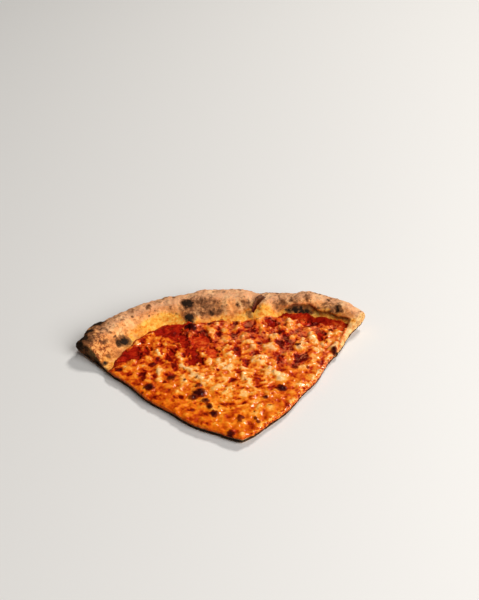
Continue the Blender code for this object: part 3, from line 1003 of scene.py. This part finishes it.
cheeseLook = {
    "cell": 0.62 * mm,
    "thickness": 1.0 * mm,
    "slope": 4.5 * mm,
    "seed": 4,
    "waviness": 0.8 * mm,
    # heights of its relief
    "curds": 1.3 * mm,
    "pebbles": 0.45 * mm,  # among the curds
    "flatPebbles": 0.40 * mm,  # elsewhere
    "threads": 0.35 * mm,
    "lumps": 0.40 * mm,
    "grains": 0.06 * mm,
    "strings": 0.45 * mm,
    "blistersRise": 0.7 * mm,
    "pitsSink": 0.55 * mm,
    "underSauce": 0.45 * mm,  # it sinks this far below the sauce where that is bare
    # degrees along the rim, and how far past its foot the cheese reaches in mm
    "reach": (
        (-44, -6.8), (-39, -6), (-35, -3.6), (-31, -3.8), (-27, -1.8), (-24, -0.6), (-22, -1.5), (-20, -3),
        (-12, -2), (-11, 0), (-9.3, 3.4), (-7.5, 1.5), (-4, 1.6), (3, 2.2), (9, 3), (12, 4.6), (14, 7),
        (16, 8), (18, 7), (20, 4.8), (22, 4), (25, 2), (32, 0.5), (40, 0.5), (44, 0),
    ),
    # bare or thinly covered red sauce: x, y, half length, half width in mm, degrees, how bare
    "redPatches": (
        (-37, 118.5, 14, 8.5, -3, 1.3), (-30, 111, 9, 6, -35, 1.1), (-27, 102, 7, 6.5, 60, 1.1),
        (-15, 103, 8, 10, 0, 1.3), (-22, 90, 5, 7, 5, 1.1), (-20, 80, 7.5, 6, 0, 0.95),
        (-7, 88, 5.5, 7.5, 0, 1.15), (-66, 93, 11, 8, 10, 1.3), (-60, 99, 5, 4, 30, 0.8),
        (-52, 98, 3.4, 6, 5, 0.9), (-36, 92, 3.2, 8, 25, 0.75), (38, 117, 7, 7, 0, 0.82),
        (57, 122.5, 9, 4.5, -18, 1), (64, 115, 7, 7, -20, 0.95), (80, 111.5, 12, 4, -38, 1),
        (72, 95, 4.2, 9, 5, 0.9), (88, 103, 5, 4, -45, 0.85), (48, 91, 5, 4.5, 0, 0.8),
        (-70, 103, 4, 3.5, 0, 0.9), (44, 103, 3, 8, 10, 0.6), (27, 108, 3, 6, 0, 0.5),
        (-12, 111, 6, 5, -30, 0.75), (60, 98, 3, 7, 5, 0.55), (-26, 118, 6, 6, 0, 1),
        (55, 74, 4, 4, 0, 0.6), (48, 124, 6, 2.5, -5, 0.75), (-40, 88, 3.5, 8, 20, 0.7),
        (88, 110, 5, 4, -45, 0.9), (22, 107, 4, 6, 0, 0.6),
    ),
    # brown pits: x, y, half length, half width in mm, degrees, how dark
    "pits": (
        (-54, 108, 2.5, 4, 0, 0.7), (-58, 68, 2.6, 6, 0, 0.8), (-35, 76, 2.6, 6, 5, 0.85),
        (-41, 100, 2, 3.5, 0, 0.5), (-49, 67, 2.2, 4, 0, 0.75), (-73, 77, 3.2, 3, 0, 0.9),
        (-50, 80, 2.8, 2.5, 0, 0.85), (-43, 60, 1.8, 1.5, 0, 0.6), (-47, 44, 4.5, 3, 0, 0.55),
        (-35, 44, 3.5, 3, 0, 0.55), (-28, 29, 2.5, 2, 0, 0.6), (-4, 20.5, 3, 1.6, 0, 0.5),
        (-4, 32, 5.5, 1.5, -6, 0.75), (5, 31, 4.5, 1.4, 6, 0.6), (1, 36, 4.5, 1.1, 0, 0.5),
        (6, 47, 3.5, 2.6, 0, 0.55), (5, 56, 5, 3, 20, 0.6), (18, 48, 3.5, 3, 0, 0.45),
        (20, 60, 3.5, 3, 0, 0.6), (14, 73, 3, 5, -30, 0.75), (10, 87, 2.6, 7, 0, 0.75),
        (10, 104, 2.5, 6, 0, 0.6), (22, 114, 2.2, 4, 0, 0.5), (31, 103, 2.4, 5, 0, 0.6),
        (38, 72, 2.8, 9, -8, 0.75), (50, 74, 2.2, 4, 0, 0.75), (42, 90, 2.2, 7, 0, 0.7),
        (58, 70, 2.2, 3, 0, 0.5), (56, 103, 2.2, 5, 0, 0.55), (13, 120, 2.2, 5, 0, 0.5),
        (-5, 121, 2.6, 4.5, 0, 0.65), (25, 94, 3.5, 2, 0, 0.55), (-62, 81, 2.2, 3, 0, 0.6),
        (-44, 86, 3, 2.2, 0, 0.6), (-30, 70, 2.2, 3, 0, 0.45), (3, 121, 2, 3, 0, 0.5),
        (20, 83, 2.5, 3, 0, 0.5), (-28, 88, 2, 4, 0, 0.6), (2, 97, 1.8, 4, 0, 0.45),
        (-1, 66, 2.5, 1.6, 0, 0.4), (47, 110, 2, 5, 0, 0.55), (30, 45, 3, 2, 0, 0.4),
        (40, 35, 2.5, 2, 0, 0.4), (48, 66, 2.4, 3, 0, 0.7), (-20, 14, 3, 2, 0, 0.5),
        (-30, 20, 2.5, 2, 0, 0.45), (-66, 72, 2.5, 3, 0, 0.5), (-37, 34, 3, 2, 0, 0.4),
    ),
    # pale cheese: x, y, half length, half width in mm, degrees, how pale, height in mm
    "paleLumps": (
        (-61, 107, 2.8, 9, 5, 0.6, 0.5), (-64, 85, 3.2, 4.5, 0, 0.75, 1), (-46, 104, 2.8, 6, 0, 0.5, 0.8),
        (-45, 91, 4.5, 6, 0, 0.45, 0.8), (-40, 104, 1.8, 7, 5, 0.5, 0.5), (-45, 71, 3, 4, 0, 0.5, 0.8),
        (-30, 81, 2.6, 7, 8, 0.5, 0.4), (-12, 80, 3, 6, 0, 0.5, 0.8), (-5, 112, 4, 9, 0, 0.8, 1),
        (4, 107, 4, 8, 0, 0.55, 1), (0, 119, 5, 4, 0, 0.5, 0.7), (-3, 76, 5, 5, 0, 0.36, 0.6),
        (3, 88, 3.5, 7, 0, 0.45, 0.9), (-15, 62, 6, 3.5, -30, 0.38, 0.5), (-10, 52, 7, 4, -35, 0.38, 0.5),
        (-3, 42, 7, 4, -10, 0.5, 0.4), (13, 60, 4, 4, 0, 0.5, 0.9), (12, 52, 3, 3, 0, 0.4, 0.8),
        (24, 75, 6, 6, 0, 0.62, 1.8), (33, 88, 6, 5.5, 0, 0.75, 1.7), (22, 92, 4, 5, 0, 0.6, 1.5),
        (28, 62, 5.5, 5, 0, 0.6, 1.5), (35, 56, 4.5, 5, 0, 0.7, 0.9), (18, 28, 9, 6, -20, 0.4, 0.1),
        (8, 23, 7, 4, 0, 0.35, 0.1), (38, 99, 3.6, 6, 0, 0.65, 1.6), (46, 107, 3.2, 7, 5, 0.7, 1.5),
        (53, 85, 4, 4.5, 0, 0.85, 1.6), (58, 89, 3, 4, 0, 0.65, 1.4), (57, 62, 4.5, 5, 0, 0.3, 0.4),
        (60, 71, 3.5, 5, 0, 0.45, 1), (18, 101, 3.6, 7, 0, 0.62, 1.5), (15, 113, 3.4, 6, 0, 0.5, 1.3),
        (31, 123, 5, 3.4, 10, 0.55, 1.5), (37, 127, 6, 3.5, 0, 0.65, 1.3), (52, 113, 3.2, 6, 0, 0.65, 1.6),
        (66, 97, 3.4, 6, 0, 0.7, 1.5), (76, 104, 3, 3.5, 0, 0.55, 1), (46, 78, 4, 5, 0, 0.5, 1.4),
        (70, 82, 8, 7, -40, 0.3, 0.3), (82, 98, 4, 5, -40, 0.4, 0.5), (50, 96, 2.5, 4, 0, 0.55, 1.3),
        (-22, 68, 3.5, 5, 0, 0.45, 0.5), (-52, 88, 2.5, 4, 0, 0.45, 0.7), (32, 111, 2.5, 5, 0, 0.5, 1.4),
        (8, 96, 2.5, 4, 0, 0.45, 1), (-68, 77, 4, 4, 0, 0.35, 0.6), (-30, 60, 4, 3, 0, 0.3, 0.3),
        (8, 122, 6, 3, 0, 0.35, 0.5), (-56, 114, 4, 3, 40, 0.4, 0.5), (-13, 106, 1.6, 5, 5, 0.8, 0.9),
        (-17, 98, 1.5, 4, -5, 0.7, 0.8), (-62, 97, 1.8, 2.5, 0, 0.7, 0.9), (-69, 90, 1.8, 3, 0, 0.7, 0.9),
        (-9, 91, 1.5, 3, 0, 0.6, 0.8), (0.5, 3, 1.8, 1.6, 0, 0.8, 0.2),
    ),
    # stretched strings of pale cheese: their places, width in mm, how pale
    "strands": (
        (((-31, 76), (-24, 69), (-20, 62), (-14, 54), (-7, 49), (0, 46), (6, 42.5), (15, 41)), 1.5, 0.42),
        (((-26, 64), (-20, 56), (-12, 49), (-5, 42), (3, 39), (14, 38)), 1.2, 0.3),
        (((-1, 69), (8, 68.5), (17, 65), (23, 59)), 1.1, 0.36),
        (((-15, 34), (-6, 36), (4, 34.5), (14, 35)), 1, 0.26),
        (((-16, 27), (-6, 27.5), (6, 29.5), (17, 27.5)), 1.3, 0.28),
        (((-7, 88), (-4, 77), (-1, 70)), 1.9, 0.4), (((26, 71), (31, 62), (33, 56), (37, 50)), 1.7, 0.4),
        (((5, 86), (6, 77), (2, 70)), 1.5, 0.32), (((-46, 97), (-44, 88), (-38, 80), (-30, 77)), 1.3, 0.3),
        (((-64, 89), (-62, 83), (-56, 79)), 1.3, 0.3), (((-30, 57), (-33, 50), (-40, 44)), 1, 0.24),
        (((-44, 74), (-38, 69), (-30, 66)), 1.1, 0.26),
        (((8, 52), (14, 55), (17, 51), (15, 46)), 0.9, 0.3),
        (((-60, 74), (-54, 70), (-46, 62)), 1.2, 0.24), (((17, 96), (24, 86), (31, 82)), 1.3, 0.3),
        (((34, 96), (42, 86), (52, 80)), 1.3, 0.28),
        (((-24, 12), (-12, 15), (0, 12), (12, 20), (26, 27)), 1.2, 0.22),
        (((-38, 32), (-28, 36), (-18, 30), (-8, 24)), 1.1, 0.22),
        (((-24, 97), (-18, 91), (-13, 92)), 0.9, 0.22), (((48, 101), (55, 96), (63, 94)), 1.2, 0.3),
    ),
    # dark blisters: x, y, radius in mm, how dark
    "blisters": (
        (-21, 45, 4.6, 0.95), (-25.5, 41.5, 3.2, 0.8), (-18, 37, 2.8, 0.85), (-16, 31, 2.6, 0.95),
        (-14, 23.5, 3, 1), (33.5, 43, 3.8, 1), (-54, 56, 3.7, 1), (-38, 64, 3.4, 0.8), (22, 35, 2.3, 0.85),
        (2, 18, 2.8, 0.65), (1, 15, 2, 0.55), (12, 16, 2.2, 0.6), (13, 12.5, 2, 0.65),
        (-6.5, 4.5, 2.8, 0.8), (-20, 122, 4.6, 1), (-19.8, 126.5, 4.4, 1), (-17.5, 118, 2.8, 0.9),
        (-50, 80, 2.4, 0.75), (53, 87, 2.4, 0.9), (80, 101, 1.9, 0.8), (-73, 77, 2.6, 0.8),
        (-21, 53, 2.4, 0.65), (77.5, 77, 2.8, 1), (47, 63, 2.3, 0.65), (-23, 90, 2.8, 0.7),
        (-70, 104, 3.4, 0.9), (-5, 122, 2.6, 0.7), (-57, 66, 2.4, 0.5), (-43, 60, 1.6, 0.5),
        (-28, 29, 1.8, 0.5), (10, 84, 2, 0.4), (-35, 78, 2.2, 0.5), (-33, 101, 2, 0.5), (60, 126, 3, 0.9),
        (54, 127, 2.4, 0.8),
    ),
    "smallCurds": 380,  # placed by chance, as are the burnt specks
    "specks": 190,
}


def inSlice(x, y):
    # roughly on the cheese: x and y in mm
    return math.hypot(x, y) < 132 and abs(x) < 1.05 * y + 6


def cheeseGround(flat, x, y):
    # where the cheese lies in curds or in strings, and its height and paleness before any single mark
    look = cheeseLook
    radius, angle = fromTip(flat)
    curdy = rise(y + 0.75 * x, 78, 112) * rise(y, 50, 75)
    middle = np.exp(-(((x - 2) / 36) ** 2 + ((y - 56) / 32) ** 2))
    calm = 1 - 0.3 * (1 - rise(y, 14, 50))
    warp = uneven(flat, 14 * mm, 21, 2)[:, None]
    bent = flat + warp * np.array([4 * mm, 4 * mm, 0])
    cobbled, cobbleTone = cobbles(bent, 8.5 * mm, 3)
    pebbled, pebbleTone = cobbles(bent, 4.0 * mm, 5)
    drawn = flat * np.array([0.5, 1.4, 1]) + warp * 8 * mm
    threads = uneven(drawn, 5.5 * mm, 22, 2)
    threads = rise(1 - np.abs(threads) * 3.0, 0, 0.8)
    broad = uneven(flat, 9 * mm, 20, 2)
    lumpy = uneven(flat, 5.4 * mm, 23, 3)
    fine = uneven(flat, 2.0 * mm, 24, 2)

    relief = curdy * look["curds"] * cobbled * (0.4 + 0.9 * cobbleTone)
    relief += curdy * look["pebbles"] * pebbled * pebbleTone
    relief += look["threads"] * threads * middle + look["lumps"] * lumpy * calm + look["grains"] * fine
    relief += look["flatPebbles"] * pebbled * pebbleTone * (1 - curdy) * calm

    melt = 0.47 - 0.02 * curdy - 0.10 * domeAt(x, y, (-48, 92), 30)
    melt += calm * (0.17 * broad + 0.42 * lumpy + 0.12 * fine)
    melt += curdy * (0.42 * cobbled * (cobbleTone - 0.32) + 0.20 * pebbled * pebbleTone)
    melt -= curdy * 0.10 * (1 - cobbled)
    melt += 0.26 * threads * middle - 0.04 * (1 - threads) * middle
    melt -= (1 - curdy) * calm * 0.36 * rise(pebbleTone, 0.70, 0.92) * pebbled
    melt += 0.16 * rise(x, 52, 72) * (1 - rise(y, 96, 108))
    melt += 0.22 * (1 - rise(farEdge(angle, look) - radius, 0.5 * mm, 3 * mm))
    return curdy, middle, lumpy, fine, relief, melt


def cheeseMarks(flat, x, y, curdy, lumpy, fine, relief, melt):
    # adds the listed marks and those placed by chance, and says where the sauce is bare and what is burnt
    look = cheeseLook
    draw = random.Random(8)
    for _ in range(look["smallCurds"]):
        place = (draw.uniform(-85, 95), draw.uniform(8, 128))
        size, high = draw.uniform(1.2, 3.2), draw.uniform(0.15, 0.7)
        if inSlice(*place):
            bump = domeAt(x, y, place, size) * (0.5 + 0.6 * curdy)
            relief += high * mm * bump
            melt += 0.35 * high * bump
    wander = 0.22 * uneven(flat, 5 * mm, 25, 3) + 0.10 * uneven(flat, 1.8 * mm, 26, 2)
    for *oval, pale, high in look["paleLumps"]:
        lump = ovalAt(x, y, oval, 1.3 * wander)
        melt += lump * pale * (0.44 + 0.30 * lumpy)
        relief += 0.8 * high * mm * lump
    for *oval, dark in look["pits"]:
        pit = ovalAt(x, y, oval, 1.2 * wander) * dark
        melt -= 0.50 * pit
        relief -= look["pitsSink"] * pit
    bentX, bentY = inMillimetres(warped(flat, 3.5 * mm, 1.1 * mm, 61))
    for line, width, pale in look["strands"]:
        strand = strandAt(bentX, bentY, line, width) * (0.8 + 0.5 * lumpy)
        melt += pale * strand
        relief += look["strings"] * strand

    # red patches, where the cheese thins out and sinks under the sauce, with islands left in them
    red = np.zeros(len(flat))
    for *oval, bareness in look["redPatches"]:
        red = np.maximum(red, bareness * ovalAt(x, y, oval, 1.5 * wander))
    islands = rise(lumpy + 0.5 * fine, 0.24, 0.5) * 0.5
    bare = rise(red - islands, 0.55, 0.85)
    melt -= 0.42 * red * (1 - 0.9 * islands)

    # a pale speckled line along the right-hand cut: pale cheese, and painted glints in its specks
    radius, angle = fromTip(flat)
    cutSide = (toppingAngle(radius, 1) - angle) * radius
    seamAndGlints = (1 - rise(cutSide, 0.8 * mm, 4.0 * mm)) * rise(x, 4, 16) * rise(lumpy + fine, -0.25, 0.25)
    melt += 0.46 * seamAndGlints

    # blisters and burnt specks
    scorch = np.zeros(len(flat))
    broken = 1 + 0.45 * uneven(flat, 2.6 * mm, 28, 2)
    for *place, size, dark in look["blisters"]:
        bump = domeAt(bentX, bentY, place, 1.45 * size)
        scorch = np.maximum(scorch, dark * np.minimum(1, 1.25 * bump * broken))
        relief += look["blistersRise"] * bump * dark
    for _ in range(look["specks"]):
        place = (draw.uniform(-80, 90), draw.uniform(4, 126))
        size, dark = draw.uniform(0.8, 2.1), draw.uniform(0.25, 0.7)
        if inSlice(*place) and (place[0] < 0 or draw.random() < 0.6):
            scorch = np.maximum(scorch, dark * domeAt(bentX, bentY, place, size) * broken)
    return relief, melt, bare, scorch


def makeCheese(crustTree):
    look = cheeseLook
    piece = cutSheet("meltedCheese", look)
    points = readPoints(piece)
    isTop = points[:, 2] > 0.5 * mm
    flat = points * np.array([1, 1, 0])
    radius, angle = fromTip(points)
    x, y = inMillimetres(points)
    dough = doughUnder(crustTree, points)
    sauceTop = sauceHeights(points, dough)
    curdy, middle, lumpy, fine, relief, melt = cheeseGround(flat, x, y)
    relief, melt, bare, scorch = cheeseMarks(flat, x, y, curdy, lumpy, fine, relief, melt)

    # the cheese lies on the sauce, and comes down onto the dough at its far edge
    cover = rise(farEdge(angle, look) - radius, 0, look["slope"])
    fromSide = insideToppings(radius, angle)
    atCut = rise(fromSide, -0.2 * mm, 1.0 * mm)
    thick = (look["thickness"] + np.maximum(relief, -0.7 * mm)) * (0.55 + 0.45 * atCut)
    under, sink = look["underSauce"], sheetLook["sink"]
    top = sauceTop - under + (under + thick) * (1 - bare) * (0.1 + 0.9 * cover)
    atRim = dough - sink + (top - dough + sink) * (0.12 + 0.88 * cover)
    atRim -= 0.3 * mm * (1 - rise(cover, 0, 0.2))
    top = np.where(cover < 1, atRim, top)
    bottom = np.minimum(sauceTop + 0.02 * mm, top - sheetLook["thinnest"])

    # along the cuts the cheese has run over the edge, further down at the right
    onEdge = (fromSide < 0.25 * mm) & (cover > 0.3)
    run = -0.1 + 0.6 * rise(x, 6, 20) * (1 - rise(radius, 112 * mm, 122 * mm))
    run += 0.9 * uneven(flat, 4 * mm, 29, 2)
    bottom = np.where(onEdge, np.minimum(bottom, dough - np.maximum(run, -0.6) * mm), bottom)
    points[:, 2] = np.where(isTop, top, bottom)
    pull = (0.30 + 0.30 * uneven(flat, 3 * mm, 27, 2)) * mm
    outward = np.stack([np.cos(angle) * np.sign(angle), -np.abs(np.sin(angle)), np.zeros(len(angle))], 1)
    points += np.where(onEdge, np.maximum(pull, 0.12 * mm), 0)[:, None] * outward
    writePoints(piece, points)

    # the side walls are a plain deep orange, so that the top's pattern doesn't run down them as stripes
    evenTone = 0.50 + 0.12 * uneven(points, 1.6 * mm, 30, 2)
    atEdge = (1 - rise(fromSide, 0.1 * mm, 0.9 * mm)) * 0.75
    amber = (1 - rise(y + 0.35 * x, 22, 70)) * 0.8
    paint(
        piece,
        melt=np.where(isTop, melt + (evenTone - melt) * atEdge, evenTone - 0.14),
        scorch=scorch,
        curdy=curdy,
        # strong specks along the right-hand cut, partly painted glints
        speckled=(1 - rise(fromSide, 0.3 * mm, 2.6 * mm)) * rise(x, 0, 8),
        amber=amber,
        smooth=np.maximum(amber, 0.7 * middle),
    )
    return finishPiece(piece, cheeseMaterial(), sheetLook["sharpAbove"])


def cheeseMaterial():
    made, tree, shader = newMaterial("melted cheese")
    place = objectPlace(tree)
    patchy = speckle(tree, place, 4.2 * mm, 3, 0.58, 0.9)
    fine = speckle(tree, place, 1.4 * mm, 2, 0.6, 0.3)
    calm = fromTo(tree, attribute(tree, "smooth"), 0.0, 1.0, 1.0, 0.42)
    level = add(tree, attribute(tree, "melt"), times(tree, wobble(tree, patchy, 0.74), calm))
    level = add(tree, level, times(tree, wobble(tree, fine, 0.34), calm))
    # pale and dark specks along the right-hand cut: pale cheese with painted glints
    level = add(tree, level, times(tree, wobble(tree, fine, 1.8), attribute(tree, "speckled")))
    colour = ramp(tree, level, (
        (0.00, (0.10, 0.0020, 0.0008)), (0.14, (0.28, 0.0055, 0.0010)), (0.29, (0.49, 0.034, 0.003)),
        (0.43, (0.71, 0.104, 0.005)), (0.58, (0.88, 0.206, 0.010)), (0.74, (0.96, 0.33, 0.035)),
        (0.89, (0.98, 0.44, 0.115)), (1.00, (1.00, 0.58, 0.245))))
    amber = ramp(tree, level, (
        (0.10, (0.14, 0.004, 0.001)), (0.30, (0.47, 0.038, 0.001)), (0.50, (0.76, 0.125, 0.002)),
        (0.72, (0.94, 0.245, 0.005)), (0.95, (1.00, 0.43, 0.055))))
    colour = between(tree, attribute(tree, "amber"), colour, amber)
    # pink on the curds: partly their own tint, partly painted highlight
    pinkAndSheen = times(tree, attribute(tree, "curdy"), spread(tree, patchy, 0.46, 0.62))
    colour = between(tree, times(tree, pinkAndSheen, 0.32), colour, (0.86, 0.27, 0.10))
    burnt = useGroup(tree, ragged, {"Place": place, "Mask": attribute(tree, "scorch"), "Raggedness": 0.8})
    colour = between(tree, times(tree, burnt["Halo"], 0.9), colour, (0.155, 0.0065, 0.002))
    colour = between(tree, burnt["Black"], colour, (0.040, 0.0025, 0.0018))
    rough = fromTo(tree, fine, 0.3, 0.7, 0.3, 0.5)
    height = useGroup(tree, grain, {"Place": place, "Coarse": 1.0, "Fine": 0.02})["Height"]
    finishShader(tree, shader, colour, rough, height, 0.18 * mm)
    shine = times(tree, spread(tree, level, 0.28, 0.62), fromTo(tree, fine, 0.4, 0.6, 0.75, 0.25))
    shine = times(tree, shine, fromTo(tree, burnt["Halo"], 0.0, 1.0, 1.0, 0.2))
    shine = times(tree, shine, fromTo(tree, level, 0.70, 0.95, 1.0, 0.45))
    shine = times(tree, shine, fromTo(tree, attribute(tree, "amber"), 0.2, 0.8, 1.0, 0.65))
    gloss(tree, shader, shine, 0.15)
    soften(shader, 0.08, 1.2 * mm)
    return made


# The studio

studio = {
    "camera": (-64.1 * mm, -552.8 * mm, 432.2 * mm),
    "pitchDown": 34.47,
    "turn": 7.8,
    "lens": 60,
    "sensorWidth": 36,
    "floorSize": 6,
    "floorColour": (0.80, 0.79, 0.77),
    "floorRoughness": 0.6,
    "keyPlace": (0.90, 1.05, 1.42),
    "keySize": 0.34,
    "keyPower": 22,
    "keyColour": (1.0, 0.97, 0.93),
    "fillPlace": (0.90, -1.00, 1.00),
    "fillSize": 1.2,
    "fillPower": 29,
    "fillColour": (1.0, 0.98, 0.96),
    "worldLight": 0.06,
}


def areaLight(name):
    # a soft lamp that faces the slice
    light = bpy.data.lights.new(name, "AREA")
    light.size = studio[name + "Size"]
    light.energy = studio[name + "Power"]
    light.color = studio[name + "Colour"]
    made = bpy.data.objects.new(name, light)
    made.location = studio[name + "Place"]
    made.rotation_euler = (-made.location).to_track_quat("-Z", "Y").to_euler()
    bpy.context.scene.collection.objects.link(made)


def makeStudio():
    deselectAll()
    bpy.ops.mesh.primitive_plane_add(size=studio["floorSize"], location=(0, 0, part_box("crust")[0][2]))
    floor = bpy.context.object
    floor.name = "studioFloor"
    bpy.ops.object.transform_apply(location=True, rotation=True, scale=True)
    material, _, shader = newMaterial("plain floor")
    shader.inputs["Base Color"].default_value = (*studio["floorColour"], 1)
    shader.inputs["Roughness"].default_value = studio["floorRoughness"]
    floor.data.materials.append(material)

    areaLight("key")
    areaLight("fill")
    world = bpy.data.worlds.new("soft room")
    bpy.context.scene.world = world
    world.use_nodes = True
    room = world.node_tree.nodes["Background"].inputs
    room["Color"].default_value = (1, 1, 1, 1)
    room["Strength"].default_value = studio["worldLight"]

    camera = bpy.data.cameras.new("camera")
    camera.lens = studio["lens"]
    camera.sensor_width = studio["sensorWidth"]
    made = bpy.data.objects.new("camera", camera)
    made.location = studio["camera"]
    made.rotation_euler = (math.radians(90 - studio["pitchDown"]), 0, -math.radians(studio["turn"]))
    bpy.context.scene.collection.objects.link(made)
    bpy.context.scene.camera = made
    bpy.context.scene.view_settings.view_transform = "Standard"
    print("studio ready")


def drawOutTip(piece):
    # all pieces move together
    points = readPoints(piece)
    share = 1 - rise(fromTip(points)[0], 0, plan["tipPullReach"])
    points[:, :2] += share[:, None] * np.array(plan["tipPull"])
    writePoints(piece, points)


crustPiece = makeCrust()
doughTree = treeOf(crustPiece)
saucePiece = makeSauce(doughTree)
cheesePiece = makeCheese(doughTree)
for piece, node in ((crustPiece, "crust"), (saucePiece, "sauce"), (cheesePiece, "cheese")):
    drawOutTip(piece)
    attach(piece, "root")
    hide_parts(node)
flakePiece = makeFlake()
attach(flakePiece, "root")
makeStudio()
